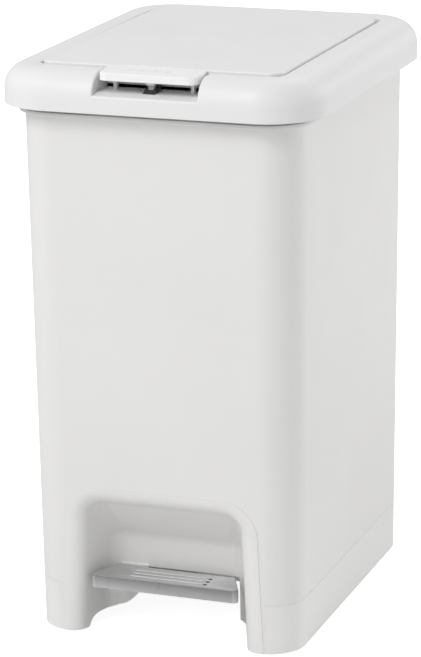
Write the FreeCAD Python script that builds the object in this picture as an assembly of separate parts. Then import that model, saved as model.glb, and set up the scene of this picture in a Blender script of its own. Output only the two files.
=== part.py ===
import FreeCAD, Part
import math
import os

# A tall white waste bin that opens by a foot pedal or by a push tab on its lid.
# Millimetres. +X is the bin's right as seen from the front, the front is towards -Y, +Z is up.
# The origin is on the floor, under the centre of the lid.

V = FreeCAD.Vector
UP = V(0, 0, 1)
ACROSS = V(1, 0, 0)
BACKWARD = V(0, 1, 0)

# ---- driving dimensions ----
HEIGHT = 575.0              # floor to the top of the flap
WIDTH = 324.0               # lid, side to side
DEPTH = 402.0               # lid, front to back
WALL = 2.5                  # moulded wall thickness
GAP = 0.3                   # small gap between neighbouring parts
RUN = 0.05                  # radial clearance of a pin in its hole

# ---- bin body: a tapered box with round corners ----
BASE = 2.0                  # underside of the moulding, lifted by the feet
BODY_TOP = 546.0
BODY_REF = 534.0            # height at which the upper outline below is given
LOW_HALF, LOW_FRONT, LOW_BACK, LOW_R = 136.8, -177.5, 189.0, 36.0
HIGH_HALF, HIGH_FRONT, HIGH_BACK, HIGH_R = 142.0, -183.0, 191.5, 39.0
RIM_LOW, RIM_HIGH = 526.3, 543.0
RIM_OUT, RIM_OUT_BACK = 2.2, 1.2            # thickened band under the lid
LEDGE_TOP = 530.2                           # narrow ledge along the band's lower edge
LEDGE_OUT, LEDGE_OUT_BACK = 6.0, 2.6
FLOOR_Z = 52.0              # underside of the bucket floor
FLOOR_T = 3.0
GROOVE_DEEP = 0.35          # shallow line round the base, level with the floor
GROOVE_HIGH = 1.3

# ---- foot well in the front ----
WELL_HALF_FRONT = 89.0      # half width at the front face, at floor level
WELL_HALF_BACK = 71.5       # half width at the back wall, at floor level
WELL_DRAFT = 0.0413         # narrowing of each side per millimetre of height
WELL_BACK = -130.0
WELL_TOP = 138.5
WELL_SLOPE_Y = -161.0       # where the ceiling starts to slope down
WELL_CREASE_Z = 95.0        # where the slope meets the back wall
WELL_R = 18.0
LIP_R = 16.0
BORDER = 16.5               # width of the raised border round the well
BORDER_OUT = 0.7
BORDER_R = 36.0
FOOT_RISE = 16.5            # height of the legs' inner walls above the floor, at the back
OPENING_TOP = 60.5          # opening in the back wall for the pedal lever
OPENING_LEFT, OPENING_RIGHT = -31.0, 65.5
HOOD_DEEP = 12.0            # hood that closes the opening towards the bucket
SILL_OUT, SILL_LOW, SILL_HIGH = 2.5, 57.0, 62.2     # small sill on the back wall beside the opening

# ---- lid frame ----
SKIRT_Z = 534.0
FRAME_TOP = HEIGHT - 3.0    # at the front; the top rises a little towards the hinge
FRAME_RISE = 2.0
LID_R = 57.5
SHOULDER_R = 24.0
COLLAR_Z = 534.0

# ---- flap ----
FLAP_HALF = 120.8
FLAP_FRONT = -163.4
FLAP_BACK = 153.1
FLAP_R, FLAP_BACK_R = 13.0, 20.0
FLAP_GAP = 1.0              # at the front and the back
SIDE_GAP_FRONT, SIDE_GAP_BACK = 1.8, 4.2
OPEN_R, OPEN_BACK_R = 12.0, 9.0             # corners of the opening in the frame
FRAME_LIP_R = 1.2
LEDGE_Z = 558.5             # top of the ledge that the flap rests on
FLAP_LOW = LEDGE_Z + GAP
BARREL_R = 6.0
AXIS_Y = FLAP_BACK - BARREL_R
AXIS_Z = HEIGHT - BARREL_R
BARREL_HALF = 110.0
HINGE_PIN_R = 2.0
BOSS_HALF = 5.0             # bosses in the frame that hold the flap's pins

# ---- push tab and latch ----
NOTCH_HALF = 52.5
NOTCH_Z = 553.5             # floor of the notch in the frame's front
NOTCH_LIP_Z = 551.0         # the floor slopes down to this height at the front
NOTCH_RAMP_Y = -189.5       # where the slope begins
NOTCH_R = 2.0
TAB_HALF = 49.5
TAB_FRONT = -194.0
TAB_BACK = FLAP_FRONT - 0.5
TAB_LOW = 565.3
TAB_TOP_FRONT = 572.6
TAB_TOP_BACK = 574.6
TAB_TRAVEL = 3.0
TAB_R = 9.0                 # front corners of the tab
TAB_WALL = 2.0
STOP_X, STOP_Y = 39.0, -173.0               # posts on the notch floor that stop the tab
MARKS = 8
MARK_STEP = 6.5
MARK_Y = -178.0
MARK_DEEP = 0.9
LATCH_HALF = 6.0
LATCH_FRONT, LATCH_BACK = -187.0, -169.0
LATCH_TOE = -188.5          # front of the latch's ramp
LATCH_RIDGE = -175.0        # where the ramp ends
LATCH_LOW = 547.2
LATCH_TOP = 559.2
LATCH_SCREW_X = 13.0
LATCH_SCREW_Y = -178.0
LATCH_SCREW_R = 1.2
PLUNGER_HALF = 2.6
PLUNGER_FRONT, PLUNGER_BACK = -182.0, -175.0
PLUNGER_LOW, PLUNGER_TOP = 552.2, 560.4
STRIKER_HALF = 4.0
STRIKER_FRONT, STRIKER_BACK = -183.5, -174.5
SEAT_BREAK = 22.0           # half width of the break in the frame's seat round the latch
LEDGE_WIDE = 7.5            # ledge under the flap's edge

# ---- pedal, lever and push rod ----
PIVOT_Y, PIVOT_Z = 40.0, 27.0
LEVER_TILT = 5.7            # degrees, front end high
LEVER_HALF = 20.0
LEVER_FRONT, LEVER_BACK = -206.0, 146.0     # measured from the pivot, along the lever
PEDAL_FRONT, PEDAL_BACK = -174.0, -137.0
PEDAL_HALF_FRONT, PEDAL_HALF_BACK = 79.5, 62.5
PEDAL_TOP, PEDAL_LOW = 62.3, 49.5
PEDAL_R = 5.0
ROD_Y = 178.0
ROD_R = 2.5
ROD_FOOT_R = 6.0
CRANK = 20.0                # flap axis to crank pin
CRANK_START = 40.0          # degrees that the crank hangs below level when shut
SHOE_R = 4.0
SHOE_GAP = 0.8              # room for the crank's arc above the rod's head


# ---------------------------------------------------------------- helpers

def box(x0, x1, y0, y1, z0, z1):
    return Part.makeBox(x1 - x0, y1 - y0, z1 - z0, V(x0, y0, z0))


def both_sides(x0, x1, y0, y1, z0, z1):
    """A box and its mirror image across the middle plane."""
    return [box(x0, x1, y0, y1, z0, z1), box(-x1, -x0, y0, y1, z0, z1)]


def rod_x(y, z, radius, x0, x1):
    return Part.makeCylinder(radius, x1 - x0, V(x0, y, z), ACROSS)


def rod_z(x, y, radius, z0, z1):
    return Part.makeCylinder(radius, z1 - z0, V(x, y, z0), UP)


def rounded(half, y0, y1, radius, z, radius_back=None):
    """A rounded rectangle as a wire, level, symmetric about x = 0."""
    if radius_back is None:
        radius_back = radius
    corners = [
        (half, y0, radius, -1, 1),
        (half, y1, radius_back, -1, -1),
        (-half, y1, radius_back, 1, -1),
        (-half, y0, radius, 1, 1),
    ]
    starts = []
    arcs = []
    for index, (x, y, r, to_x, to_y) in enumerate(corners):
        along_y = V(x, y + to_y * r, z)
        along_x = V(x + to_x * r, y, z)
        middle = V(x + to_x * r * (1 - math.sqrt(0.5)), y + to_y * r * (1 - math.sqrt(0.5)), z)
        first, last = (along_x, along_y) if index % 2 == 0 else (along_y, along_x)
        starts.append((first, last))
        arcs.append(Part.Arc(first, middle, last).toShape())
    edges = []
    for index in range(4):
        edges.append(arcs[index])
        following = starts[(index + 1) % 4][0]
        edges.append(Part.makeLine(starts[index][1], following))
    return Part.Wire(edges)


def plate(wire, height):
    return Part.Face(wire).extrude(V(0, 0, height))


def loft(low, high):
    return Part.makeLoft([low, high], True, True)


def prism_x(points, x0, x1):
    """A flat outline of (y, z) points, extruded across the bin."""
    outline = [V(x0, y, z) for y, z in points]
    outline.append(outline[0])
    return Part.Face(Part.makePolygon(outline)).extrude(V(x1 - x0, 0, 0))


def fuse(shapes):
    result = shapes[0]
    if len(shapes) > 1:
        result = result.multiFuse(shapes[1:])
    return result.removeSplitter()


def cut(shape, tools):
    result = shape
    for tool in tools:
        result = result.cut(tool)
    return result


def round_edges(shape, radius, wanted):
    """Fillet the edges that the test function picks."""
    edges = [edge for edge in shape.Edges if wanted(edge)]
    return shape.makeFillet(radius, edges)


def bounds(edge):
    return edge.BoundBox


def coil(x, y, radius, wire_r, z0, z1, turns):
    """A helical compression spring standing on z0."""
    height = z1 - z0 - 2 * wire_r
    path = Part.makeHelix(height / turns, height, radius)
    path.translate(V(x, y, z0 + wire_r))
    ring = Part.Wire(Part.makeCircle(wire_r, V(x + radius, y, z0 + wire_r), BACKWARD))
    return Part.Wire(path.Edges).makePipeShell([ring], True, True)


def export(name, shapes):
    solids = []
    for shape in shapes:
        solids.extend(shape.Solids)
    result = solids[0] if len(solids) == 1 else Part.makeCompound(solids)
    result.exportStep(os.path.join("parts", name + ".step"))


# ---------------------------------------------------------------- bin body

def body_outline(z, grow=0.0):
    """The body's outline at a height, moved outwards by grow."""
    share = z / BODY_REF
    half = LOW_HALF + (HIGH_HALF - LOW_HALF) * share
    front = LOW_FRONT + (HIGH_FRONT - LOW_FRONT) * share
    back = LOW_BACK + (HIGH_BACK - LOW_BACK) * share
    radius = LOW_R + (HIGH_R - LOW_R) * share
    return rounded(half + grow, front - grow, back + grow, radius + grow, z)


def back_wall_inside(z):
    return LOW_BACK + (HIGH_BACK - LOW_BACK) * z / BODY_REF - WALL


def well_half(z):
    """Half width of the foot well at the front face."""
    return WELL_HALF_FRONT - WELL_DRAFT * z


def well(grow):
    """The foot well as a solid, its faces moved outwards by grow."""
    outside = LOW_FRONT - 30
    low, high = -20.0, 180.0
    taper = (WELL_HALF_FRONT - WELL_HALF_BACK) / (WELL_BACK - LOW_FRONT)

    def plan(z):
        half_out = well_half(z) + (LOW_FRONT - outside) * taper + grow
        half_in = well_half(z) - (WELL_HALF_FRONT - WELL_HALF_BACK) - grow * taper + grow
        return Part.makePolygon([
            V(-half_out, outside, z),
            V(half_out, outside, z),
            V(half_in, WELL_BACK + grow, z),
            V(-half_in, WELL_BACK + grow, z),
            V(-half_out, outside, z),
        ])
    side_view = [
        (outside - 5, low - 5),
        (WELL_BACK + grow, low - 5),
        (WELL_BACK + grow, WELL_CREASE_Z + grow * 0.45),
        (WELL_SLOPE_Y + grow * 0.35, WELL_TOP + grow),
        (outside - 5, WELL_TOP + grow),
    ]
    solid = loft(plan(low), plan(high)).common(prism_x(side_view, -150, 150))

    def inner_edge(edge):
        box_ = bounds(edge)
        in_outer_face = box_.YMax < outside + 1
        on_bottom = box_.ZMax < low + 1
        return not in_outer_face and not on_bottom
    return round_edges(solid, WELL_R + grow, inner_edge)


def border_region():
    """A block that takes in the foot well and the raised border round it."""
    top = WELL_TOP + BORDER
    low_half, high_half = well_half(BASE) + BORDER, well_half(top) + BORDER
    outline = Part.makePolygon([
        V(-low_half, 0, BASE - 1), V(low_half, 0, BASE - 1), V(high_half, 0, top), V(-high_half, 0, top),
        V(-low_half, 0, BASE - 1),
    ])
    deep = 100.0
    region = Part.Face(outline).extrude(V(0, deep, 0))
    region.translate(V(0, LOW_FRONT - 20, 0))
    return round_edges(region, BORDER_R,
                       lambda edge: bounds(edge).YLength > deep - 1 and bounds(edge).ZMin > top - 1)


def lip_edges(solid, low):
    """Edges where the foot well meets the front face."""
    picked = []
    for edge in solid.Edges:
        box_ = bounds(edge)
        in_front = box_.YMax < -165
        near_well = max(abs(box_.XMin), abs(box_.XMax)) < WELL_HALF_FRONT + 8
        below_top = box_.ZMax < WELL_TOP + 8
        runs_along_bottom = box_.ZMax < low + 0.5
        if in_front and near_well and below_top and not runs_along_bottom:
            picked.append(edge)
    return picked


def bin_void():
    """The space inside the walls, before the floor divides it."""
    low = BASE - 1
    space = loft(body_outline(low, -WALL), body_outline(BODY_TOP + 1, -WALL))
    space = space.cut(well(WALL))
    return space.makeFillet(LIP_R - WALL, lip_edges(space, low))


def curve(points):
    """A smooth curve through (y, z) points in the plane x = 0."""
    spline = Part.BSplineCurve()
    spline.interpolate([V(0, y, z) for y, z in points])
    return spline.toShape()


def foot_cut():
    """Trims the inner walls of the legs, in a curve that rises behind each foot."""
    rise = [(-166.0, BASE - 1), (-163.0, BASE + 1), (-160.6, 7.5), (-157.0, 11.3), (-151.0, 13.6),
            (WELL_BACK, FOOT_RISE)]
    back, low = -112.0, -5.0
    corners = [V(0, WELL_BACK, FOOT_RISE), V(0, back, FOOT_RISE), V(0, back, low), V(0, rise[0][0], low),
               V(0, rise[0][0], BASE - 1)]
    tool = Part.Face(Part.Wire([curve(rise)] + Part.makePolygon(corners).Edges))
    half = WELL_HALF_FRONT + 10
    tool = tool.extrude(V(2 * half, 0, 0))
    tool.translate(V(-half, 0, 0))
    return tool


def pedal_opening():
    """The gap in the well's back wall that the pedal lever passes through."""
    left, right, top = OPENING_LEFT, OPENING_RIGHT, OPENING_TOP
    low = FOOT_RISE - 1
    slope = Part.BSplineCurve()
    slope.interpolate([
        V(left - 35, 0, FOOT_RISE),
        V(left - 26, 0, 19),
        V(left - 13.5, 0, 30),
        V(left, 0, 48),
    ])
    corners = [V(left, 0, 48), V(left, 0, top), V(right, 0, top), V(right, 0, low),
               V(left - 35, 0, low), V(left - 35, 0, FOOT_RISE)]
    outline = Part.Wire([slope.toShape()] + Part.makePolygon(corners).Edges)
    start = WELL_BACK - 10
    opening = Part.Face(outline).extrude(V(0, WELL_BACK + HOOD_DEEP - WALL - start, 0))
    opening.translate(V(0, start, 0))
    return opening


def lever_hood():
    """Closes the top of the opening off from the bucket, so that rubbish can't reach the lever."""
    return box(OPENING_LEFT - WALL, OPENING_RIGHT + WALL, WELL_BACK + 1, WELL_BACK + HOOD_DEEP,
               FLOOR_Z + 1, OPENING_TOP + WALL)


def wall_sill():
    return box(OPENING_LEFT - 29, OPENING_LEFT, WELL_BACK - SILL_OUT, WELL_BACK + 1, SILL_LOW, SILL_HIGH)


FOOT_PLACES = [(-112, -146), (112, -146), (-112, 160), (112, 160)]
FOOT_R = 9.0
HINGE_X = 60.0
FRAME_AXIS_Y, FRAME_AXIS_Z = 196.5, 536.0
EAR_R = 3.2
EAR_HALF = 5.0
FRAME_PIN_R = 1.5
BRACKET_X0, BRACKET_X1 = 30.0, 38.0
BRACKET_SCREWS = [(47, 32), (47, 48), (-47, 32), (-47, 48)]
COVER_SCREWS = [(20, 171), (-20, 171)]
SCREW_R = 1.5


def hinge_ear(x0, x1, y_root):
    """A round-ended ear about the frame's hinge axis."""
    knuckle = rod_x(FRAME_AXIS_Y, FRAME_AXIS_Z, EAR_R, x0, x1)
    root = box(x0, x1, min(y_root, FRAME_AXIS_Y), max(y_root, FRAME_AXIS_Y),
               FRAME_AXIS_Z - EAR_R, FRAME_AXIS_Z + EAR_R)
    return knuckle.fuse(root)


def rim_band(low, high, out, out_back):
    """A level band round the outside of the upper walls."""
    outline = rounded(HIGH_HALF + out, HIGH_FRONT - out, HIGH_BACK + out_back, HIGH_R + out, low)
    band = round_edges(plate(outline, high - low), 1.0, lambda edge: bounds(edge).ZLength < 0.1)
    return band.cut(loft(body_outline(low - 1, -WALL / 2), body_outline(high + 1, -WALL / 2)))


def base_groove():
    """The line round the base, left out across the legs' fronts."""
    low = FLOOR_Z - GROOVE_HIGH / 2
    ring = plate(body_outline(low, 5), GROOVE_HIGH)
    ring = ring.cut(plate(body_outline(low - 1, -GROOVE_DEEP), GROOVE_HIGH + 2))
    half = WELL_HALF_FRONT + BORDER + 1
    return ring.cut(box(-half, half, -DEPTH, 0, 0, 2 * FLOOR_Z))


def hull(grow):
    """The tapered outside, with the foot well cut out of it and its lip rounded."""
    solid = loft(body_outline(BASE, grow), body_outline(BODY_TOP, grow)).cut(well(0))
    return solid.makeFillet(LIP_R, lip_edges(solid, BASE))


def bin_body():
    inside = bin_void().cut(box(-WIDTH, WIDTH, -DEPTH, DEPTH, FLOOR_Z, FLOOR_Z + FLOOR_T))
    region = border_region()
    panel = hull(BORDER_OUT).cut(inside).common(region)
    panel = panel.cut(foot_cut()).fuse(lever_hood()).cut(pedal_opening()).fuse(wall_sill())
    shell = fuse([hull(0).cut(inside).cut(region), panel])
    shell = shell.fuse(rim_band(RIM_LOW, RIM_HIGH, RIM_OUT, RIM_OUT_BACK))
    shell = shell.fuse(rim_band(RIM_LOW, LEDGE_TOP, LEDGE_OUT, LEDGE_OUT_BACK))
    shell = shell.cut(base_groove())
    posts = [rod_z(x, y, FOOT_R + 2, BASE, FLOOR_Z + 1) for x, y in FOOT_PLACES]
    ears = []
    for side in (-1, 1):
        x = side * HINGE_X
        ears.append(hinge_ear(x - EAR_HALF, x + EAR_HALF, HIGH_BACK - 1))
    shell = fuse([shell] + posts + ears)
    holes = [rod_x(FRAME_AXIS_Y, FRAME_AXIS_Z, FRAME_PIN_R + RUN, -HINGE_X - 20, HINGE_X + 20)]
    holes += [rod_z(x, y, SCREW_R + RUN, FLOOR_Z - 1, FLOOR_Z + FLOOR_T - 0.5) for x, y in BRACKET_SCREWS]
    holes += [rod_z(x, y, SCREW_R + RUN, FLOOR_Z + 0.5, FLOOR_Z + FLOOR_T + 1) for x, y in COVER_SCREWS]
    holes.append(rod_z(0, ROD_Y, ROD_FOOT_R + 1, FLOOR_Z - 1, FLOOR_Z + FLOOR_T + 1))
    return cut(shell, holes)


def rubber_feet():
    return [rod_z(x, y, FOOT_R, 0, BASE) for x, y in FOOT_PLACES]


def frame_hinge_pins():
    return [rod_x(FRAME_AXIS_Y, FRAME_AXIS_Z, FRAME_PIN_R, side * HINGE_X - 12, side * HINGE_X + 12)
            for side in (-1, 1)]


# ---------------------------------------------------------------- pedal works

AXLE_R = 3.0
AXLE_HALF = 46.0
LEVER_T = 1.5
WEB_TOP = 5.5               # web of the lever above the pivot line
LEVER_LOW = -6.5
PEDAL_SCREWS = (-184.0, -198.0)
TREADS = (-166.0, -158.1, -150.2)
TREAD_HALF = 37.3
TREAD_DOT_X = 39.9


def tilted(shape):
    """Turn a shape drawn along the lever into its place at rest."""
    placed = shape.copy()
    placed.translate(V(0, PIVOT_Y, PIVOT_Z))
    placed.rotate(V(0, PIVOT_Y, PIVOT_Z), ACROSS, -LEVER_TILT)
    return placed


def pedal_axle():
    return [rod_x(PIVOT_Y, PIVOT_Z, AXLE_R, -AXLE_HALF, AXLE_HALF)]


def axle_caps():
    caps = []
    for side in (-1, 1):
        inner, outer = BRACKET_X1 + 1.0, AXLE_HALF + 1.5
        x0, x1 = sorted((side * inner, side * outer))
        cap = rod_x(PIVOT_Y, PIVOT_Z, AXLE_R + 2.5, x0, x1)
        bore = rod_x(PIVOT_Y, PIVOT_Z, AXLE_R + RUN, *sorted((side * (inner - 1), side * (AXLE_HALF + RUN))))
        caps.append(cap.cut(bore))
    return caps


def axle_brackets():
    brackets = []
    top = FLOOR_Z - RUN
    for side in (-1, 1):
        x0, x1 = sorted((side * BRACKET_X0, side * BRACKET_X1))
        ear = fuse([
            box(x0, x1, PIVOT_Y - 8, PIVOT_Y + 8, PIVOT_Z, top),
            rod_x(PIVOT_Y, PIVOT_Z, 8, x0, x1),
        ])
        f0, f1 = sorted((side * BRACKET_X0, side * 55.0))
        flange = box(f0, f1, PIVOT_Y - 14, PIVOT_Y + 14, top - 2.5, top)
        bracket = ear.fuse(flange)
        bracket = bracket.cut(rod_x(PIVOT_Y, PIVOT_Z, AXLE_R + RUN, x0 - 1, x1 + 1))
        for x, y in BRACKET_SCREWS:
            bracket = bracket.cut(rod_z(x, y, SCREW_R + RUN, top - 4, top + 1))
        brackets.append(bracket.removeSplitter())
    return brackets


def pan_head(radius, height):
    """A domed screw head below z = 0, with a cross slot in it."""
    rim, shoulder, crown = V(radius, 0, -0.4 * height), V(0.72 * radius, 0, -0.85 * height), V(0, 0, -height)
    dome = Part.Arc(rim, shoulder, crown).toShape()
    rest = Part.makePolygon([V(0, 0, -height), V(0, 0, 0), V(radius, 0, 0), V(radius, 0, -0.4 * height)])
    head = Part.Face(Part.Wire([dome] + rest.Edges)).revolve(V(0, 0, 0), UP, 360)
    long, thin = 0.65 * radius, 0.14 * radius
    slots = [box(-long, long, -thin, thin, -height - 1, -0.55 * height),
             box(-thin, thin, -long, long, -height - 1, -0.55 * height)]
    return cut(head, slots)


def screw_up(x, y, under, length, radius=SCREW_R):
    """A pan-head screw driven upwards; under is the face its head bears on."""
    head = pan_head(2 * radius, 1.4 * radius)
    screw = head.fuse(rod_z(0, 0, radius, -0.2, length)).removeSplitter()
    screw.translate(V(x, y, under))
    return screw


def screw_down(x, y, over, length):
    """The same screw driven downwards; over is the face its head bears on."""
    screw = screw_up(0, 0, 0, length)
    screw.rotate(V(0, 0, 0), ACROSS, 180)
    screw.translate(V(x, y, over))
    return screw


def bracket_screws():
    under = FLOOR_Z - RUN - 2.5 - RUN
    return [screw_up(x, y, under, 4.6) for x, y in BRACKET_SCREWS]


def pedal_lever():
    web = box(-LEVER_HALF, LEVER_HALF, LEVER_FRONT, LEVER_BACK, WEB_TOP - LEVER_T, WEB_TOP)
    sides = both_sides(LEVER_HALF - LEVER_T, LEVER_HALF, LEVER_FRONT, LEVER_BACK, LEVER_LOW, WEB_TOP)
    lever = fuse([web] + sides)
    nose = prism_x([(LEVER_FRONT - 1, LEVER_LOW - 1), (LEVER_FRONT + 26, LEVER_LOW - 1),
                    (LEVER_FRONT - 1, WEB_TOP - 3)], -30, 30)
    holes = [nose, rod_x(0, 0, AXLE_R + RUN, -30, 30)]
    holes += [rod_z(0, y, SCREW_R + RUN, 0, 10) for y in PEDAL_SCREWS]
    return [tilted(cut(lever, holes))]


def lever_pad():
    """Nylon pad on the lever's rear end, under the foot of the rod."""
    reach = ROD_Y - PIVOT_Y
    pad = box(-8, 8, reach - 10, LEVER_BACK - 0.5, WEB_TOP + RUN, WEB_TOP + 2)
    return [tilted(round_edges(pad, 0.8, lambda edge: bounds(edge).ZMin > WEB_TOP + 1.9))]


def pedal_plate():
    low, top = PEDAL_LOW, PEDAL_TOP

    def plan(inset, z):
        front, back = PEDAL_FRONT + inset, PEDAL_BACK - inset
        wide, narrow = PEDAL_HALF_FRONT - inset, PEDAL_HALF_BACK - inset
        return Part.makePolygon([V(-wide, front, z), V(wide, front, z), V(narrow, back, z),
                                 V(-narrow, back, z), V(-wide, front, z)])
    block = Part.Face(plan(0, low)).extrude(V(0, 0, top - low))
    block = round_edges(block, PEDAL_R, lambda edge: bounds(edge).ZLength > 5 and bounds(edge).YMax < -160)
    block = round_edges(block, 2, lambda edge: bounds(edge).ZLength > 5 and bounds(edge).YMin > -140)
    block = round_edges(block, 1.2, lambda edge: bounds(edge).ZMin > top - 0.1)
    hollow = Part.Face(plan(WALL, low - 1)).extrude(V(0, 0, top - low - WALL + 1))
    hollow = round_edges(hollow, PEDAL_R - WALL,
                         lambda edge: bounds(edge).ZLength > 5 and bounds(edge).YMax < -160)
    block = block.cut(hollow)
    block = block.cut(box(-LEVER_HALF - 1, LEVER_HALF + 1, -145, -120, low - 1, top - WALL))
    boss = box(-14, 14, PEDAL_FRONT + 5, PEDAL_BACK - 4, low + 0.5, top - WALL)
    under_web = box(-30, 30, LEVER_FRONT - 20, LEVER_BACK, -30, WEB_TOP + RUN)
    boss = boss.cut(tilted(under_web))
    block = block.fuse(boss)
    treads = []
    for y in TREADS:
        tread = box(-TREAD_HALF, TREAD_HALF, y - 1.1, y + 1.1, top - 0.2, top + 1.0)
        treads.append(round_edges(tread, 0.6, lambda edge: bounds(edge).ZMin > top + 0.9))
    block = fuse([block] + treads)
    block = cut(block, [rod_z(TREAD_DOT_X, y, 1.3, top - WALL - 1, top + 1) for y in TREADS])
    drill = [tilted(rod_z(0, y, SCREW_R + RUN, 0, WEB_TOP + 3.2)) for y in PEDAL_SCREWS]
    return [cut(block, drill)]


def pedal_screws():
    under = WEB_TOP - LEVER_T - RUN
    return [tilted(screw_up(0, y, under, LEVER_T + 3)) for y in PEDAL_SCREWS]


# ---------------------------------------------------------------- push rod

PAD_TOP_REST = AXIS_Z - CRANK * math.sin(math.radians(CRANK_START)) - SHOE_R - SHOE_GAP
PIN_Y = AXIS_Y - CRANK * math.cos(math.radians(CRANK_START))
PIN_Z = AXIS_Z - CRANK * math.sin(math.radians(CRANK_START))
ARM_LOW, ARM_TOP = 523.0, 531.0             # arm on top of the rod
LEVER_END_Z = PIVOT_Z - (ROD_Y - PIVOT_Y) * math.tan(math.radians(LEVER_TILT)) + WEB_TOP + 2
FOOT_LOW = LEVER_END_Z + 1.0
ROD_LOW, ROD_TOP = FOOT_LOW + 3.0, ARM_TOP - 2.0


def push_rod():
    rod = rod_z(0, ROD_Y, ROD_R, ROD_LOW, ROD_TOP)
    return [round_edges(rod, 0.6, lambda edge: bounds(edge).ZLength < 0.1)]


def rod_foot():
    foot = rod_z(0, ROD_Y, ROD_FOOT_R, FOOT_LOW, FOOT_LOW + 14)
    foot = round_edges(foot, 1.5, lambda edge: bounds(edge).ZLength < 0.1)
    return [foot.cut(rod_z(0, ROD_Y, ROD_R + RUN, ROD_LOW - RUN, FOOT_LOW + 20))]


def rod_head():
    """Arm on top of the rod that reaches forward to lift the crank."""
    front, back = 122.5, ROD_Y + 6
    arm = box(-4.5, 4.5, front, back, ARM_LOW, ARM_TOP)
    post = box(-4.5, 4.5, front, front + 16, ARM_LOW, PAD_TOP_REST)
    gusset = prism_x([(front + 15.5, ARM_TOP - 1), (front + 28, ARM_TOP - 1), (front + 15.5, ARM_TOP + 8)],
                     -1.5, 1.5)
    sleeve = rod_z(0, ROD_Y, 5.5, ARM_LOW - 12, ARM_TOP)
    head = fuse([arm, post, gusset, sleeve])
    head = round_edges(head, 1.0, lambda edge: bounds(edge).ZMin > PAD_TOP_REST - 0.1)
    return [head.cut(rod_z(0, ROD_Y, ROD_R + RUN, ARM_LOW - 20, ROD_TOP + RUN))]


def rod_cover():
    """Channel inside the back wall that keeps rubbish off the rod."""
    low, high = FLOOR_Z + FLOOR_T + RUN, 505.0

    def section(z):
        back = back_wall_inside(z) - GAP
        out, inn, flange = 16.0, 14.0, 24.0
        front = 166.0
        points = [(-flange, back), (-inn, back), (-inn, front + 2), (inn, front + 2), (inn, back),
                  (flange, back), (flange, back - 2), (out, back - 2), (out, front), (-out, front),
                  (-out, back - 2), (-flange, back - 2), (-flange, back)]
        return Part.makePolygon([V(x, y, z) for x, y in points])
    channel = loft(section(low), section(high))
    toe = box(-26, 26, 164, 176, low, low + 2).cut(box(-15, 15, 167, 180, low - 1, low + 3))
    cover = fuse([channel, toe])
    return [cut(cover, [rod_z(x, y, SCREW_R + RUN, low - 1, low + 3) for x, y in COVER_SCREWS])]


def cover_screws():
    over = FLOOR_Z + FLOOR_T + RUN + 2 + RUN
    return [screw_down(x, y, over, 4.2) for x, y in COVER_SCREWS]


def rod_guides():
    guides = []
    for z in (110.0, 300.0, 485.0):
        back = back_wall_inside(z) - GAP - 0.1
        block = box(-13.8, 13.8, 168.2, back, z, z + 10)
        guides.append(block.cut(rod_z(0, ROD_Y, ROD_R + RUN, z - 1, z + 11)))
    return guides


# ---------------------------------------------------------------- lid frame

def flap_opening(grow, low, high):
    """The opening for the flap as a solid; it widens a little towards the hinge."""
    front, back = FLAP_FRONT - FLAP_GAP - grow, FLAP_BACK + FLAP_GAP + grow
    half_front, half_back = FLAP_HALF + SIDE_GAP_FRONT + grow, FLAP_HALF + SIDE_GAP_BACK + grow
    outline = Part.makePolygon([
        V(-half_front, front, low),
        V(half_front, front, low),
        V(half_back, back, low),
        V(-half_back, back, low),
        V(-half_front, front, low),
    ])
    solid = Part.Face(outline).extrude(V(0, 0, high - low))

    def upright(edge):
        return bounds(edge).ZLength > 1 and bounds(edge).YLength < 1
    solid = round_edges(solid, OPEN_R + grow * 0.5, lambda edge: upright(edge) and bounds(edge).YMax < 0)
    return round_edges(solid, OPEN_BACK_R + grow * 0.5,
                       lambda edge: upright(edge) and bounds(edge).YMin > 0)


def above_top(drop):
    """Everything above the frame's top plane, which is moved down by drop."""
    front, back = -DEPTH, DEPTH
    slope = FRAME_RISE / DEPTH
    level = FRAME_TOP + FRAME_RISE / 2 - drop
    return prism_x([(front, level + slope * front), (back, level + slope * back), (back, HEIGHT + 60),
                    (front, HEIGHT + 60)], -WIDTH, WIDTH)


def frame_notches():
    """Cut-outs in the back skirt that the hinge ears stand in."""
    half = 14.0
    back = DEPTH / 2
    return [box(side * HINGE_X - half, side * HINGE_X + half, back - 11, back + 9,
                SKIRT_Z - 5, FRAME_AXIS_Z + 8)
            for side in (-1, 1)]


def notch(grow):
    """The finger notch in the front."""
    half = NOTCH_HALF + grow
    front, back, top = -DEPTH / 2 - 10, FLAP_FRONT + 2, HEIGHT + 5
    slope = (NOTCH_Z - NOTCH_LIP_Z) / (NOTCH_RAMP_Y + DEPTH / 2)
    return prism_x([
        (front, NOTCH_LIP_Z - 10 * slope - grow),
        (NOTCH_RAMP_Y, NOTCH_Z - grow),
        (back, NOTCH_Z - grow),
        (back, top),
        (front, top),
    ], -half, half)


def frame_dome(inset, low):
    """The frame's outside as a solid, its faces moved inwards by inset."""
    half, deep = WIDTH / 2 - inset, DEPTH / 2 - inset
    dome = plate(rounded(half, -deep, deep, LID_R - inset, low), HEIGHT + 5 - low)
    dome = dome.cut(above_top(inset))
    return round_edges(dome, SHOULDER_R - inset, lambda edge: bounds(edge).ZMin > FRAME_TOP - inset - 0.5)


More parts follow.
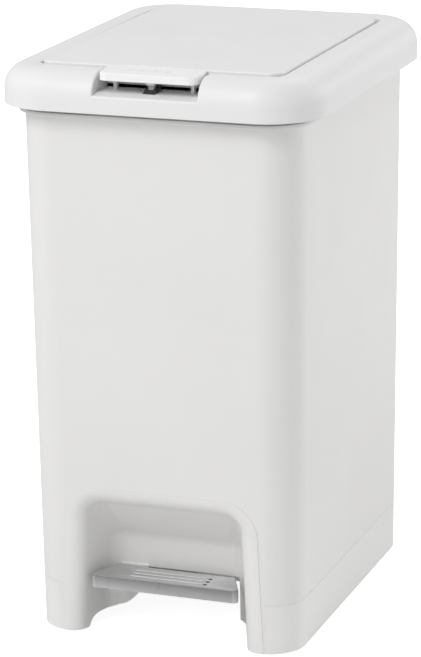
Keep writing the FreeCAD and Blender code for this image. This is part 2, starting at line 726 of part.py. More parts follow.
def frame_supports():
    """Inside the frame: the ring that sits on the body's rim and the collar that centres it."""
    high = FRAME_TOP + FRAME_RISE
    seat = plate(body_outline(BODY_TOP, -0.2), high - BODY_TOP)
    seat = seat.cut(plate(body_outline(BODY_TOP - 1, -WALL), 60))
    seat.translate(V(0, 0, GAP))
    seat = seat.cut(box(-SEAT_BREAK, SEAT_BREAK, -DEPTH, 0, SKIRT_Z, NOTCH_Z - WALL))
    collar = plate(body_outline(BODY_TOP, -WALL - 0.8), high - COLLAR_Z)
    collar = collar.cut(plate(body_outline(BODY_TOP - 1, -2 * WALL - 0.5), 60))
    collar.translate(V(0, 0, COLLAR_Z - BODY_TOP))
    collar = collar.cut(box(-WIDTH, WIDTH, 150, DEPTH, SKIRT_Z - 10, HEIGHT))
    collar = collar.cut(box(-SEAT_BREAK, SEAT_BREAK, -DEPTH, 0, SKIRT_Z - 10, HEIGHT))
    envelope = frame_dome(WALL / 2, SKIRT_Z - 5)
    return [piece.common(envelope).cut(notch(WALL / 2)) for piece in (seat, collar)]


def frame_ears():
    """Pairs of ears on the frame's back skirt, one each side of the body's ears."""
    ears = []
    back = DEPTH / 2
    half = 3.0
    step = EAR_HALF + half + 1.0
    for side in (-1, 1):
        for offset in (-1, 1):
            middle = side * HINGE_X + offset * step
            ears.append(hinge_ear(middle - half, middle + half, back - 1))
            x0, x1 = sorted((middle + offset * half, middle + offset * 2 * half))
            ears.append(box(x0, x1, back - WALL, back - 0.8, FRAME_AXIS_Z, FRAME_AXIS_Z + 8))
            ears.append(box(middle - half, middle + half, back - WALL, back, FRAME_AXIS_Z, FRAME_AXIS_Z + 9))
    return ears


def soften_notch(frame):
    """Round the notch's front edges."""
    near_front = -DEPTH / 2 + 4

    def wanted(edge):
        box_ = bounds(edge)
        on_floor = box_.XLength > 100 and NOTCH_LIP_Z - 1 < box_.ZMin and box_.ZMax < NOTCH_Z - 0.5
        on_end = box_.XLength < 0.1 and abs(abs(box_.XMin) - NOTCH_HALF) < 0.1 and box_.ZLength > 10
        return box_.YMin < near_front and (on_floor or on_end)
    return round_edges(frame, NOTCH_R, wanted)


def lid_frame():
    outer = frame_dome(0, SKIRT_Z)
    outer = round_edges(outer, 0.8, lambda edge: bounds(edge).ZMax < SKIRT_Z + 0.1)
    hole = flap_opening(0, LEDGE_Z, HEIGHT + 20)
    through = flap_opening(-LEDGE_WIDE, LEDGE_Z - 10, HEIGHT)
    well_wall = flap_opening(WALL, LEDGE_Z - 2, HEIGHT)
    inner = cut(frame_dome(WALL, SKIRT_Z - 1), [notch(WALL), well_wall])
    shell = soften_notch(outer.cut(notch(0))).cut(hole)
    shell = round_edges(shell, FRAME_LIP_R, lip_of_opening)
    shell = cut(shell, [inner, through])
    bosses = []
    for side in (-1, 1):
        x0, x1 = sorted((side * (FLAP_HALF + 2), side * (FLAP_HALF + 11)))
        bosses.append(box(x0, x1, AXIS_Y - BOSS_HALF, AXIS_Y + BOSS_HALF, AXIS_Z - 6, FRAME_TOP - 1))
    frame = fuse([shell] + frame_supports() + bosses)
    frame = cut(frame, frame_notches())
    frame = fuse([frame] + frame_ears())
    holes = [rod_x(FRAME_AXIS_Y, FRAME_AXIS_Z, FRAME_PIN_R + RUN, -HINGE_X - 30, HINGE_X + 30)]
    for side in (-1, 1):
        x0, x1 = sorted((side * (FLAP_HALF - 2), side * (FLAP_HALF + 10)))
        holes.append(rod_x(AXIS_Y, AXIS_Z, HINGE_PIN_R + RUN, x0, x1))
    holes.append(latch_window())
    holes += [rod_z(x, LATCH_SCREW_Y, LATCH_SCREW_R + RUN, NOTCH_Z - WALL - 1, NOTCH_Z - 0.8)
              for x in (-LATCH_SCREW_X, LATCH_SCREW_X)]
    crank_room = box(-11, 11, AXIS_Y - 3, AXIS_Y + 11, LEDGE_Z - 5, AXIS_Z - 6)
    holes.append(crank_room)
    return [cut(frame, holes)]


def lip_of_opening(edge):
    """Picks the top edges of the flap's opening, but not where the notch cuts through."""
    box_ = bounds(edge)
    inside = max(abs(box_.XMin), abs(box_.XMax)) < FLAP_HALF + 6 and box_.YMin > FLAP_FRONT - 1.5
    on_top = box_.ZMin > FRAME_TOP - 0.5 and box_.ZLength < FRAME_RISE
    return inside and on_top and box_.YMax < FLAP_BACK + 3


def latch_window():
    """The hole in the notch's floor that the latch comes up through."""
    return box(-LATCH_HALF - 0.2, LATCH_HALF + 0.2, LATCH_TOE - 0.2, LATCH_BACK + 0.2, 547, NOTCH_Z + 1)


def flap_hinge_pins():
    pins = []
    for side in (-1, 1):
        x0, x1 = sorted((side * (BARREL_HALF - 14), side * (FLAP_HALF + 9.5)))
        pins.append(rod_x(AXIS_Y, AXIS_Z, HINGE_PIN_R, x0, x1))
    return pins


def tab_stop_posts():
    top = TAB_LOW - TAB_TRAVEL - 0.1
    posts = []
    for x in (-STOP_X, STOP_X):
        post = box(x - 1.6, x + 1.6, STOP_Y - 2, STOP_Y + 2, NOTCH_Z + RUN, top)
        posts.append(round_edges(post, 0.8, lambda edge: bounds(edge).ZMin > top - 0.1))
    return posts


# ---------------------------------------------------------------- latch

def latch_housing():
    flange_top = NOTCH_Z - WALL - RUN
    ramp = prism_x([(LATCH_TOE, NOTCH_Z + 0.6), (LATCH_RIDGE, LATCH_TOP), (LATCH_BACK, LATCH_TOP),
                    (LATCH_BACK, LATCH_LOW), (LATCH_FRONT, LATCH_LOW), (LATCH_FRONT, NOTCH_Z - 1),
                    (LATCH_TOE, NOTCH_Z - 1)], -LATCH_HALF, LATCH_HALF)
    ramp = round_edges(ramp, 0.8,
                       lambda edge: bounds(edge).ZMin > LATCH_TOP - 0.1 and bounds(edge).XLength < 0.1)
    flange = box(-18, 18, LATCH_FRONT, LATCH_BACK, flange_top - 2.5, flange_top)
    room = 0.4
    mouth = box(-STRIKER_HALF - room, STRIKER_HALF + room, STRIKER_FRONT - room, STRIKER_BACK + room,
                PLUNGER_TOP + 0.2 - TAB_TRAVEL - room, LATCH_TOP + 1)
    bore = box(-PLUNGER_HALF - 0.15, PLUNGER_HALF + 0.15, PLUNGER_FRONT - 0.15, PLUNGER_BACK + 0.15,
               LATCH_LOW + 1.2, LATCH_TOP + 1)
    holes = [rod_z(x, LATCH_SCREW_Y, LATCH_SCREW_R + RUN, 540, 555) for x in (-LATCH_SCREW_X, LATCH_SCREW_X)]
    return [cut(ramp.fuse(flange), [mouth, bore] + holes)]


def latch_screws():
    under = NOTCH_Z - WALL - 2 * RUN - 2.5
    return [screw_up(x, LATCH_SCREW_Y, under, 4.0, LATCH_SCREW_R) for x in (-LATCH_SCREW_X, LATCH_SCREW_X)]


def latch_spring():
    middle = (PLUNGER_FRONT + PLUNGER_BACK) / 2
    return [coil(0, middle, 2.4, 0.35, LATCH_LOW + 1.2 + RUN, PLUNGER_LOW - RUN, 3)]


def latch_plunger():
    stem = box(-PLUNGER_HALF, PLUNGER_HALF, PLUNGER_FRONT, PLUNGER_BACK, PLUNGER_LOW, PLUNGER_TOP)
    return [round_edges(stem, 1.0, lambda edge: bounds(edge).ZMin > PLUNGER_TOP - 0.1)]


# ---------------------------------------------------------------- flap

LUG_X = 33.0
LUG_LOW, LUG_TOP = 566.0, 570.0
SHELF_TOP = 561.0


def flap_panel():
    outline = rounded(FLAP_HALF, FLAP_FRONT, FLAP_BACK, FLAP_R, FLAP_LOW, FLAP_BACK_R)
    block = plate(outline, HEIGHT - FLAP_LOW)
    block = round_edges(block, 1.8,
                        lambda edge: bounds(edge).ZMin > HEIGHT - 0.1 and bounds(edge).YMin < 130)
    inner_outline = rounded(FLAP_HALF - WALL, FLAP_FRONT + WALL, FLAP_BACK - WALL, FLAP_R - WALL,
                            FLAP_LOW - 1, FLAP_BACK_R - WALL)
    hollow = plate(inner_outline, HEIGHT - WALL - FLAP_LOW + 1)
    block = block.cut(hollow)
    block = block.cut(box(-WIDTH, WIDTH, 133, DEPTH, SKIRT_Z, AXIS_Z))
    block = block.cut(box(-WIDTH, WIDTH, AXIS_Y, DEPTH, SKIRT_Z, HEIGHT + 10))
    barrel = rod_x(AXIS_Y, AXIS_Z, BARREL_R, -BARREL_HALF, BARREL_HALF)
    ribs = [box(x - 1, x + 1, FLAP_FRONT + 1, AXIS_Y - 2, HEIGHT - WALL - 5, HEIGHT - WALL + 0.5)
            for x in (-80, -45, 45, 80)]
    ribs += [box(-FLAP_HALF + 1, FLAP_HALF - 1, y - 1, y + 1, HEIGHT - WALL - 5, HEIGHT - WALL + 0.5)
             for y in (-110, -40, 30, 90)]
    shelves = []
    for side in (-1, 1):
        x = side * LUG_X
        shelves.append(box(x - 5, x + 5, FLAP_FRONT + 1, FLAP_FRONT + 10, SHELF_TOP - 1.8, SHELF_TOP))
        shelves.append(box(x - 6.5, x - 5, FLAP_FRONT + 1, FLAP_FRONT + 10, SHELF_TOP - 1.8, HEIGHT - 1))
        shelves.append(box(x + 5, x + 6.5, FLAP_FRONT + 1, FLAP_FRONT + 10, SHELF_TOP - 1.8, HEIGHT - 1))
    flap = fuse([block, barrel] + ribs + shelves)
    holes = []
    for side in (-1, 1):
        x0, x1 = sorted((side * (BARREL_HALF - 15), side * (FLAP_HALF + 1)))
        holes.append(rod_x(AXIS_Y, AXIS_Z, HINGE_PIN_R + RUN, x0, x1))
        x = side * LUG_X
        holes.append(box(x - 3.2, x + 3.2, FLAP_FRONT - 1, FLAP_FRONT + WALL + 0.1,
                         LUG_LOW - TAB_TRAVEL - 0.3, LUG_TOP + 0.3))
    holes += [rod_z(x, y, SCREW_R + RUN, HEIGHT - 6, HEIGHT - 0.9) for x, y in CRANK_SCREWS]
    return [cut(flap, holes)]


def tab_springs():
    return [coil(side * LUG_X, FLAP_FRONT + 6.2, 1.9, 0.3, SHELF_TOP + RUN, LUG_LOW - RUN, 4)
            for side in (-1, 1)]


CRANK_SCREWS = [(-14, 116), (14, 116)]


def crank_bracket():
    top = HEIGHT - WALL - RUN
    base = box(-20, 20, 108, 140, top - 2, top)
    ears = []
    for x0 in (-9.0, 6.0):
        start = (116.0, top - 1)
        points = [start, (139.0, top - 1), (PIN_Y + 4.6, PIN_Z + 1), (PIN_Y - 4.6, PIN_Z - 1)]
        ears.append(prism_x(points, x0, x0 + 3))
        ears.append(rod_x(PIN_Y, PIN_Z, 5, x0, x0 + 3))
    bracket = fuse([base] + ears)
    holes = [rod_x(PIN_Y, PIN_Z, 2 + RUN, -20, 20)]
    holes += [rod_z(x, y, SCREW_R + RUN, top - 5, top + 1) for x, y in CRANK_SCREWS]
    return [cut(bracket, holes)]


def crank_pin():
    pin = rod_x(PIN_Y, PIN_Z, 2, -10, 10)
    return [round_edges(pin, 0.5, lambda edge: bounds(edge).XLength < 0.1)]


def crank_shoe():
    shoe = rod_x(PIN_Y, PIN_Z, SHOE_R, -5, 5)
    return [shoe.cut(rod_x(PIN_Y, PIN_Z, 2 + RUN, -6, 6))]


def crank_screws():
    under = HEIGHT - WALL - 2 * RUN - 2
    return [screw_up(x, y, under, 3.4) for x, y in CRANK_SCREWS]


# ---------------------------------------------------------------- push tab

def push_tab():
    side_view = [(TAB_FRONT, TAB_LOW), (TAB_BACK, TAB_LOW), (TAB_BACK, TAB_TOP_BACK),
                 (TAB_FRONT, TAB_TOP_FRONT)]
    block = prism_x(side_view, -TAB_HALF, TAB_HALF)
    block = round_edges(block, TAB_R,
                        lambda edge: bounds(edge).ZLength > 5 and bounds(edge).YMax < TAB_FRONT + 0.1)
    block = round_edges(block, 1.4, lambda edge: bounds(edge).ZMin > TAB_TOP_FRONT - 0.1)
    front, back = TAB_FRONT + TAB_WALL, TAB_BACK - TAB_WALL
    hollow_view = [(front, TAB_LOW - 1), (back, TAB_LOW - 1), (back, TAB_TOP_BACK - TAB_WALL),
                   (front, TAB_TOP_FRONT - TAB_WALL)]
    hollow = prism_x(hollow_view, -TAB_HALF + TAB_WALL, TAB_HALF - TAB_WALL)
    hollow = round_edges(hollow, TAB_R - TAB_WALL,
                         lambda edge: bounds(edge).ZLength > 5 and bounds(edge).YMax < front + 0.1)
    block = block.cut(hollow)
    parts = [block]
    parts.append(box(-8, 8, -191, TAB_BACK - 1, TAB_LOW + 2, TAB_TOP_FRONT - 1))
    for side in (-1, 1):
        x = side * LUG_X
        parts.append(box(x - 3, x + 3, TAB_BACK - 1, FLAP_FRONT + WALL + 1.5, LUG_LOW, LUG_TOP))
        parts.append(box(x - 4.6, x + 4.6, FLAP_FRONT + WALL + 0.3, FLAP_FRONT + 9.2, LUG_LOW, LUG_TOP))
        stop_x = side * STOP_X
        parts.append(box(stop_x - 3, stop_x + 3, STOP_Y - 3, STOP_Y + 3, TAB_LOW, TAB_TOP_FRONT + 0.5))
        rib_x = x / 2
        parts.append(box(rib_x - 1, rib_x + 1, TAB_FRONT + 1, TAB_BACK - 1, TAB_LOW + 3, TAB_TOP_FRONT - 1))
    return [cut(fuse(parts), tab_marks())]


def tab_marks():
    """A row of shallow slanting grooves on the tab, to show where to press."""
    marks = []
    slope = math.degrees(math.atan2(TAB_TOP_BACK - TAB_TOP_FRONT, TAB_BACK - TAB_FRONT))
    for index in range(MARKS):
        mark = box(-0.7, 0.7, -3.0, 3.0, -MARK_DEEP, 2)
        mark.rotate(V(0, 0, 0), UP, 40 if index % 2 else -40)
        mark.rotate(V(0, 0, 0), ACROSS, slope)
        x = (index - (MARKS - 1) / 2) * MARK_STEP
        mark.translate(V(x, MARK_Y, TAB_TOP_FRONT + (MARK_Y - TAB_FRONT) * math.tan(math.radians(slope))))
        marks.append(mark)
    return marks


def striker():
    low, top = PLUNGER_TOP + 0.2, TAB_LOW + 2 - RUN
    block = box(-STRIKER_HALF, STRIKER_HALF, STRIKER_FRONT, STRIKER_BACK, low, top)
    return [round_edges(block, 0.9, lambda edge: bounds(edge).ZMax < low + 0.1)]


# ---------------------------------------------------------------- write the parts

PARTS = {
    "bin_body": lambda: [bin_body()],
    "rubber_feet": rubber_feet,
    "frame_hinge_pins": frame_hinge_pins,
    "pedal_axle": pedal_axle,
    "axle_caps": axle_caps,
    "axle_brackets": axle_brackets,
    "bracket_screws": bracket_screws,
    "rod_cover": rod_cover,
    "cover_screws": cover_screws,
    "rod_guides": rod_guides,
    "pedal_plate": pedal_plate,
    "pedal_lever": pedal_lever,
    "pedal_screws": pedal_screws,
    "lever_pad": lever_pad,
    "push_rod": push_rod,
    "rod_foot": rod_foot,
    "rod_head": rod_head,
    "lid_frame": lid_frame,
    "flap_hinge_pins": flap_hinge_pins,
    "tab_stop_posts": tab_stop_posts,
    "latch_housing": latch_housing,
    "latch_screws": latch_screws,
    "latch_spring": latch_spring,
    "latch_plunger": latch_plunger,
    "flap_panel": flap_panel,
    "crank_bracket": crank_bracket,
    "crank_screws": crank_screws,
    "crank_pin": crank_pin,
    "crank_shoe": crank_shoe,
    "tab_springs": tab_springs,
    "push_tab": push_tab,
    "striker": striker,
}

os.makedirs("parts", exist_ok=True)
for node, make in PARTS.items():
    export(node, make())
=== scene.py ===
import math

import bpy
from mathutils import Matrix, Vector


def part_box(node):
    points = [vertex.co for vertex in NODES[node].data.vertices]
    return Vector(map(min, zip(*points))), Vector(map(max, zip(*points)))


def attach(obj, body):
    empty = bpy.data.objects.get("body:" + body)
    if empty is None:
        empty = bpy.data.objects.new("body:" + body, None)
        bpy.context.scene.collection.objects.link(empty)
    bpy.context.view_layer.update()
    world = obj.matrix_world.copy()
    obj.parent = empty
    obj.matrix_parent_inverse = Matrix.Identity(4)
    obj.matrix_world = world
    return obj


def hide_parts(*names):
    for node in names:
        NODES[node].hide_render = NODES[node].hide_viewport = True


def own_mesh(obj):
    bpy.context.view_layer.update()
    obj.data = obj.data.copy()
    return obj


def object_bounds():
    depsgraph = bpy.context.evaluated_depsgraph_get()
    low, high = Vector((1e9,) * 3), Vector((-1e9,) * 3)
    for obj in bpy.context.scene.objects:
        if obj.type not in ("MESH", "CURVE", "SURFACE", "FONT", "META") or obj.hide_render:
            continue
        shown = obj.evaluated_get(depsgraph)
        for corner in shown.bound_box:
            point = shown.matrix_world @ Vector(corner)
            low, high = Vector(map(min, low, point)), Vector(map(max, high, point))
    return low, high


# A white push-and-pedal waste bin in a plain pale studio.
# Metres. The front is towards -Y, +X is to the right as seen from the front, +Z is up, the floor is z = 0.

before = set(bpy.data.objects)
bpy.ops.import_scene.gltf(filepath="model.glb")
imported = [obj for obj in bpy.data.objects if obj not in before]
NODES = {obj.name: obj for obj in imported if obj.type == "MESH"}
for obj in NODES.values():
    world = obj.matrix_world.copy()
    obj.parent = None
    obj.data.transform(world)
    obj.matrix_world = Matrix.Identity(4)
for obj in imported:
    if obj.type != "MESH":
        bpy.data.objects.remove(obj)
CAD_LOW, CAD_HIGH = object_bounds()
WIDTH = CAD_HIGH[0] - CAD_LOW[0]
DEPTH = CAD_HIGH[1] - CAD_LOW[1]
HEIGHT = CAD_HIGH[2] - CAD_LOW[2]


# ---------------------------------------------------------------- node helpers

MIX_COLOURS = (6, 7)                    # a Mix node's two colour inputs
MIX_RESULT = 2                          # and its colour output
NOISE_MOST = (0.3, 0.7)                 # most of a noise's values lie between these
EDGE_POINTINESS = (0.52, 0.60)          # where the paler edge, part wear and part painted highlight, starts on an outer edge, and where it is full


def scaled(colour, factor):
    return tuple(min(1.0, channel * factor) for channel in colour)


class Graph:
    """A material's node tree, with short calls to add and join nodes."""

    def __init__(self, name):
        self.material = bpy.data.materials.new(name)
        self.material.use_nodes = True
        self.tree = self.material.node_tree
        self.tree.nodes.clear()
        self.shader = self.add("ShaderNodeBsdfPrincipled")
        output = self.add("ShaderNodeOutputMaterial")
        self.join(self.shader, "BSDF", output, "Surface")
        self.place = self.add("ShaderNodeTexCoord")

    def add(self, kind, **settings):
        node = self.tree.nodes.new(kind)
        for key, value in settings.items():
            setattr(node, key, value)
        return node

    def join(self, source, output, target, socket):
        self.tree.links.new(source.outputs[output], target.inputs[socket])

    def noise(self, scale, detail=2.0, rough=0.5, stretch=None):
        node = self.add("ShaderNodeTexNoise")
        node.inputs["Scale"].default_value = scale
        node.inputs["Detail"].default_value = detail
        node.inputs["Roughness"].default_value = rough
        if stretch is None:
            self.join(self.place, "Object", node, "Vector")
        else:
            mapping = self.add("ShaderNodeMapping")
            mapping.inputs["Scale"].default_value = stretch
            self.join(self.place, "Object", mapping, "Vector")
            self.join(mapping, "Vector", node, "Vector")
        return node

    def span(self, source, output, low, high, start=0.0, end=1.0):
        """Map a value from start..end to low..high, clamped."""
        node = self.add("ShaderNodeMapRange")
        node.inputs["From Min"].default_value = start
        node.inputs["From Max"].default_value = end
        node.inputs["To Min"].default_value = low
        node.inputs["To Max"].default_value = high
        self.join(source, output, node, "Value")
        return node

    def blend(self, factor, output, low, high):
        """Mix two colours, each a tuple or the node that gives it, by a factor."""
        node = self.add("ShaderNodeMix", data_type="RGBA")
        self.join(factor, output, node, 0)
        for socket, colour in zip(MIX_COLOURS, (low, high)):
            if isinstance(colour, tuple):
                node.inputs[socket].default_value = colour + (1.0,)
            else:
                self.tree.links.new(colour.outputs[MIX_RESULT], node.inputs[socket])
        return node

    def mottle(self, noise, colour, dark, pale):
        """A colour that wanders with a noise between two shares of its brightness."""
        return self.blend(noise, "Fac", scaled(colour, dark), scaled(colour, pale))

    def edge_wear_and_highlight(self, strength):
        """How much a place lies on an outer edge, from 0 to strength: the mask of paler edges, part wear
        and part painted highlight.
        """
        geometry = self.add("ShaderNodeNewGeometry")
        return self.span(geometry, "Pointiness", 0.0, strength, *EDGE_POINTINESS)

    def bump(self, source, distance, below=None):
        """Relief from a noise, on top of another relief if one is given."""
        node = self.add("ShaderNodeBump")
        node.inputs["Distance"].default_value = distance
        node.inputs["Strength"].default_value = 1.0
        self.join(source, "Fac", node, "Height")
        if below is not None:
            self.join(below, "Normal", node, "Normal")
        return node

    def paint(self, colour):
        self.tree.links.new(colour.outputs[MIX_RESULT], self.shader.inputs["Base Color"])

    def sheen(self, noise, low, high):
        """Roughness that wanders with a noise between low and high."""
        self.join(self.span(noise, "Fac", low, high, *NOISE_MOST), "Result", self.shader, "Roughness")

    def relief(self, bump):
        self.join(bump, "Normal", self.shader, "Normal")


# ---------------------------------------------------------------- materials

PLASTIC_IOR = 1.49
PLASTIC_SPECULAR = 0.42


def moulded_plastic(name, colour, rough=0.42, grain=0.00002, wave=0.0006):
    """Injection-moulded plastic: fine grain, slow waviness of the wall, paler edges (part wear, part
    painted highlight), faint scuffs.
    """
    graph = Graph(name)
    tint = graph.mottle(graph.noise(scale=7.0, detail=3.0), colour, dark=0.975, pale=1.02)
    # paler outer edges: part wear, part painted highlight
    edged = graph.blend(graph.edge_wear_and_highlight(strength=0.55), "Result", tint, scaled(colour, 1.07))
    graph.paint(edged)
    smears = graph.noise(scale=26.0, detail=4.0, rough=0.6, stretch=(1.0, 1.0, 0.35))
    graph.sheen(smears, rough - 0.07, rough + 0.09)
    walls = graph.bump(graph.noise(scale=9.0, detail=1.0, rough=0.4, stretch=(1.0, 1.0, 0.45)), wave)
    graph.relief(graph.bump(graph.noise(scale=1400.0), grain, below=walls))
    graph.shader.inputs["IOR"].default_value = PLASTIC_IOR
    graph.shader.inputs["Specular IOR Level"].default_value = PLASTIC_SPECULAR
    return graph.material


PEDAL_LOW, PEDAL_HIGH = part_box("pedal_plate")
PEDAL_MIDDLE = Vector([(a + b) / 2 for a, b in zip(PEDAL_LOW, PEDAL_HIGH)])
PEDAL_DEPTH = PEDAL_HIGH[1] - PEDAL_LOW[1]
TREAD_HIGH = 0.0010                     # treads above the pedal's top
TREAD_FADE = (0.7, 0.3)                 # shares of a tread's height over which it turns pale
DOT_RADIUS = 0.0021
DOT_SOFT = 1.25                         # a dot has faded out at this many radii
DOT_COLUMN = 0.537                      # share of the pedal's half width, from its middle
DOT_ROWS = (0.222, 0.435, 0.648)        # shares of the pedal's depth, from the front
DOT_X = PEDAL_MIDDLE.x + DOT_COLUMN * (PEDAL_HIGH[0] - PEDAL_MIDDLE.x)
TREAD_DOTS = [(DOT_X, PEDAL_LOW[1] + row * PEDAL_DEPTH, PEDAL_HIGH[2]) for row in DOT_ROWS]
UPWARD = (0.4, 0.9)                     # how far a face looks up where the painted shade of the sides turns to the painted light of the top


def tread_highlight(graph):
    """The raised treads' tops, painted paler than the rest as a painted highlight."""
    place = graph.add("ShaderNodeSeparateXYZ")
    graph.join(graph.place, "Object", place, "Vector")
    start, end = (PEDAL_HIGH[2] - share * TREAD_HIGH for share in TREAD_FADE)
    return graph.span(place, "Z", 0.0, 0.8, start, end)


def hole_shade_spot(graph, place):
    """A dark spot painted round one of the small holes at the treads' ends: painted shade in the hole."""
    away = graph.add("ShaderNodeVectorMath", operation="DISTANCE")
    graph.join(graph.place, "Object", away, "Vector")
    away.inputs[1].default_value = place
    return graph.span(away, "Value", 1.0, 0.0, DOT_RADIUS, DOT_RADIUS * DOT_SOFT)


def pedal_plastic(name, colour):
    """Grey satin plastic with painted light: the top painted paler and the sides painted darker by the way
    they face, tread tops painted paler as a highlight, dark painted shade round the tread holes, paler
    edges that are part wear and part painted highlight, moulded grain and scuffs along X.
    """
    graph = Graph(name)
    clouds = graph.noise(scale=30.0, detail=3.0)
    # painted light by facing: the sides painted darker as shade, the top painted paler as lit
    shaded_sides = graph.mottle(clouds, colour, dark=0.44, pale=0.52)
    lit_top = graph.mottle(clouds, colour, dark=1.00, pale=1.12)
    facing = graph.add("ShaderNodeSeparateXYZ")
    graph.join(graph.place, "Normal", facing, "Vector")
    tint = graph.blend(graph.span(facing, "Z", 0.0, 1.0, *UPWARD), "Result", shaded_sides, lit_top)
    # painted highlight on the tread tops
    tint = graph.blend(tread_highlight(graph), "Result", tint, scaled(colour, 2.1))
    streaks = graph.noise(scale=60.0, detail=3.0, rough=0.7, stretch=(0.15, 1.0, 1.0))
    rubbed = graph.span(streaks, "Fac", 0.0, 0.35, 0.58, 0.75)
    scuffed = graph.blend(rubbed, "Result", tint, scaled(colour, 1.25))
    # paler outer edges: part wear, part painted highlight
    edged = graph.blend(graph.edge_wear_and_highlight(strength=0.8), "Result", scuffed, scaled(colour, 1.9))
    # painted shade: dark spots round the tread holes
    for place in TREAD_DOTS:
        edged = graph.blend(hole_shade_spot(graph, place), "Result", edged, scaled(colour, 0.06))
    graph.paint(edged)
    graph.sheen(clouds, 0.26, 0.40)
    graph.relief(graph.bump(graph.noise(scale=1100.0), 0.00003))
    return graph.material


def dark_acetal(name, colour):
    """Dark slippery plastic of the latch, slightly uneven in colour."""
    graph = Graph(name)
    clouds = graph.noise(scale=90.0, detail=3.0)
    graph.paint(graph.mottle(clouds, colour, dark=0.8, pale=1.3))
    graph.sheen(clouds, 0.22, 0.38)
    graph.relief(graph.bump(graph.noise(scale=1500.0), 0.00002))
    return graph.material


def zinc_steel(name, colour, stretch):
    """Zinc-plated steel with drawing lines and a slightly blotchy passivated film."""
    graph = Graph(name)
    blotches = graph.noise(scale=45.0, detail=4.0, rough=0.6)
    graph.paint(graph.mottle(blotches, colour, dark=0.86, pale=1.08))
    lines = graph.noise(scale=420.0, detail=3.0, rough=0.6, stretch=stretch)
    graph.sheen(lines, 0.22, 0.46)
    graph.relief(graph.bump(lines, 0.00002))
    graph.shader.inputs["Metallic"].default_value = 1.0
    return graph.material


def foot_rubber(name, colour):
    """Matt black rubber with dust on it."""
    graph = Graph(name)
    dust = graph.noise(scale=160.0, detail=5.0, rough=0.7)
    graph.paint(graph.mottle(dust, colour, dark=0.7, pale=1.6))
    graph.sheen(dust, 0.6, 0.85)
    graph.relief(graph.bump(graph.noise(scale=900.0, detail=3.0), 0.00008))
    return graph.material


BODY_WHITE = (0.800, 0.795, 0.780)
LID_WHITE = (0.815, 0.815, 0.815)
TAB_WHITE = scaled(LID_WHITE, 1.08)
SMALL_WHITE = scaled(LID_WHITE, 0.99)
INNER_GREY = (0.55, 0.55, 0.56)
PEDAL_GREY = (0.34, 0.34, 0.345)
LATCH_DARK = (0.045, 0.045, 0.05)
RUBBER_BLACK = (0.06, 0.06, 0.06)
ZINC = (0.66, 0.67, 0.69)
ZINC_PINS = (0.68, 0.68, 0.70)
SPRING_STEEL = (0.50, 0.50, 0.52)
ALONG_X = (0.04, 1.0, 1.0)              # stretches a noise into lines along one axis
ALONG_Y = (1.0, 0.04, 1.0)
ALONG_Z = (1.0, 1.0, 0.04)


def make_materials():
    """One material per finish, with the nodes that take it."""
    return [
        (moulded_plastic("body_white", BODY_WHITE), ["bin_body", "rod_cover"]),
        (moulded_plastic("lid_white", LID_WHITE, rough=0.50, grain=0.000015, wave=0.0004),
         ["lid_frame", "flap_panel"]),
        (moulded_plastic("tab_white", TAB_WHITE, rough=0.40, grain=0.00001, wave=0.0002), ["push_tab"]),
        (moulded_plastic("small_white", SMALL_WHITE, rough=0.38, grain=0.00001, wave=0.0),
         ["tab_stop_posts", "striker", "rod_head", "crank_bracket"]),
        (moulded_plastic("inner_grey", INNER_GREY, rough=0.35, grain=0.00001, wave=0.0),
         ["axle_caps", "axle_brackets", "rod_guides", "lever_pad", "rod_foot", "crank_shoe",
          "latch_plunger"]),
        (pedal_plastic("pedal_grey", PEDAL_GREY), ["pedal_plate"]),
        (dark_acetal("latch_dark", LATCH_DARK), ["latch_housing"]),
        (zinc_steel("zinc_along_y", ZINC, ALONG_Y), ["pedal_lever"]),
        (zinc_steel("zinc_along_z", ZINC, ALONG_Z),
         ["push_rod", "bracket_screws", "cover_screws", "pedal_screws", "latch_screws", "crank_screws"]),
        (zinc_steel("zinc_along_x", ZINC_PINS, ALONG_X),
         ["pedal_axle", "frame_hinge_pins", "flap_hinge_pins", "crank_pin"]),
        (zinc_steel("spring_wire", SPRING_STEEL, ALONG_X), ["latch_spring", "tab_springs"]),
        (foot_rubber("foot_rubber", RUBBER_BLACK), ["rubber_feet"]),
    ]


def dress():
    for material, names in make_materials():
        for name in names:
            mesh = NODES[name].data
            mesh.materials.clear()
            mesh.materials.append(material)


# ---------------------------------------------------------------- springs

SPRINGS = [                             # CAD node, the body it rides on, the joint that presses it
    ("latch_spring", "frame", "latch_press"),
    ("tab_springs", "flap", "tab_press"),
]


def add_spring(node, body, joint):
    """A copy of a coil that rides on its body in place of the CAD node."""
    spring = bpy.data.objects.new(node + "_coil", NODES[node].data.copy())
    bpy.context.scene.collection.objects.link(spring)
    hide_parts(node)
    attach(spring, body)
    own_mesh(spring)


# ---------------------------------------------------------------- studio

CAMERA_TURN = math.radians(20.2)        # from the front towards +X
CAMERA_DOWN = math.radians(15.8)
CAMERA_ROLL = math.radians(-0.71)
CAMERA_AWAY = 5.226 * HEIGHT
CAMERA_TARGET = Vector((0.007 * WIDTH, -0.056 * DEPTH, 0.491 * HEIGHT))
LENS = 163.2
SENSOR = 36.0
LENS_SHIFT = (-0.0069, -0.0010)
VIEW_END = 50.0


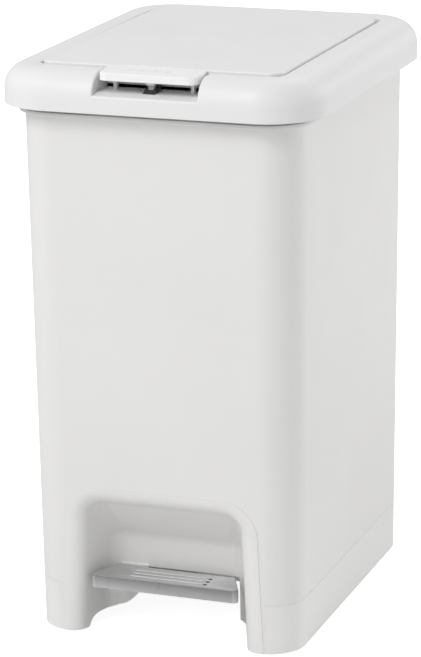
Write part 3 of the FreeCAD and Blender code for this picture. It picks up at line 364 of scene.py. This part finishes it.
def add_camera():
    forward = Vector((-math.sin(CAMERA_TURN) * math.cos(CAMERA_DOWN),
                      math.cos(CAMERA_TURN) * math.cos(CAMERA_DOWN),
                      -math.sin(CAMERA_DOWN)))
    level = Vector((math.cos(CAMERA_TURN), math.sin(CAMERA_TURN), 0))
    upright = level.cross(forward)
    right = level * math.cos(CAMERA_ROLL) + upright * math.sin(CAMERA_ROLL)
    up = upright * math.cos(CAMERA_ROLL) - level * math.sin(CAMERA_ROLL)
    lens = bpy.data.cameras.new("camera")
    lens.lens = LENS
    lens.sensor_width = SENSOR
    lens.shift_x, lens.shift_y = LENS_SHIFT
    lens.clip_end = VIEW_END
    camera = bpy.data.objects.new("camera", lens)
    columns = Matrix((right, up, -forward)).transposed().to_4x4()
    camera.matrix_world = Matrix.Translation(CAMERA_TARGET - forward * CAMERA_AWAY) @ columns
    bpy.context.scene.collection.objects.link(camera)
    bpy.context.scene.camera = camera


LIGHT_AWAY = 3.0
WIDE_BOX = (1.1, 1.1)
LOW_BOX = (0.6, 0.4)
LIGHTS = [                              # name, turn and rise in degrees, size, power
    ("key_box", -24, 42, WIDE_BOX, 35),
    ("left_box", -80, 42, WIDE_BOX, 8),
    ("low_front_box", 0, 4, LOW_BOX, 2),
    ("right_box", 108, 20, WIDE_BOX, 10.5),
    ("right_back_box", 140, 20, WIDE_BOX, 20),
    ("back_box", 180, 45, WIDE_BOX, 6),
]


def add_light(name, turn, rise, size, power):
    """A soft box aimed at the middle of the bin. Turn 0 is in front, and 90 is towards +X."""
    turn, rise = math.radians(turn), math.radians(rise)
    middle = Vector((0, 0, HEIGHT / 2))
    offset = Vector((math.sin(turn) * math.cos(rise), -math.cos(turn) * math.cos(rise), math.sin(rise)))
    light = bpy.data.lights.new(name, "AREA")
    light.shape = "RECTANGLE"
    light.size, light.size_y = size
    light.energy = power
    lamp = bpy.data.objects.new(name, light)
    lamp.location = middle + offset * LIGHT_AWAY
    lamp.rotation_euler = (-offset).to_track_quat("-Z", "Y").to_euler()
    bpy.context.scene.collection.objects.link(lamp)


WHITE = (1.0, 1.0, 1.0, 1.0)
DOME = 0.51
SEEN = 1.0


def add_background(tree, strength):
    node = tree.nodes.new("ShaderNodeBackground")
    node.inputs["Color"].default_value = WHITE
    node.inputs["Strength"].default_value = strength
    return node


def add_world():
    """White where the camera sees it, an even grey-white dome for the light."""
    world = bpy.data.worlds.new("studio")
    world.use_nodes = True
    bpy.context.scene.world = world
    tree = world.node_tree
    tree.nodes.clear()
    output = tree.nodes.new("ShaderNodeOutputWorld")
    mix = tree.nodes.new("ShaderNodeMixShader")
    path = tree.nodes.new("ShaderNodeLightPath")
    dome = add_background(tree, DOME)
    seen = add_background(tree, SEEN)
    tree.links.new(path.outputs["Is Camera Ray"], mix.inputs[0])
    tree.links.new(dome.outputs[0], mix.inputs[1])
    tree.links.new(seen.outputs[0], mix.inputs[2])
    tree.links.new(mix.outputs[0], output.inputs[0])


FLOOR_HALF = 6.0
FLOOR_GLOW = 0.9                        # only where the camera sees it
FLOOR_GREYS = ((0.86, 0.86, 0.86), (0.88, 0.88, 0.88))


def add_floor():
    """A pale floor that the camera sees as paper-white, with a very faint shadow."""
    mesh = bpy.data.meshes.new("floor")
    corners = [(x * FLOOR_HALF, y * FLOOR_HALF, 0) for x, y in ((-1, -1), (1, -1), (1, 1), (-1, 1))]
    mesh.from_pydata(corners, [], [(0, 1, 2, 3)])
    floor = bpy.data.objects.new("floor", mesh)
    bpy.context.scene.collection.objects.link(floor)
    graph = Graph("floor")
    graph.paint(graph.blend(graph.noise(scale=40.0), "Fac", *FLOOR_GREYS))
    graph.shader.inputs["Roughness"].default_value = 0.9
    graph.shader.inputs["Specular IOR Level"].default_value = 0.1
    graph.shader.inputs["Emission Color"].default_value = WHITE
    path = graph.add("ShaderNodeLightPath")
    glow = graph.span(path, "Is Camera Ray", 0.0, FLOOR_GLOW)
    graph.join(glow, "Result", graph.shader, "Emission Strength")
    mesh.materials.append(graph.material)


dress()
for spring in SPRINGS:
    add_spring(*spring)
add_floor()
add_world()
for light in LIGHTS:
    add_light(*light)
add_camera()
bpy.context.scene.view_settings.view_transform = "Standard"
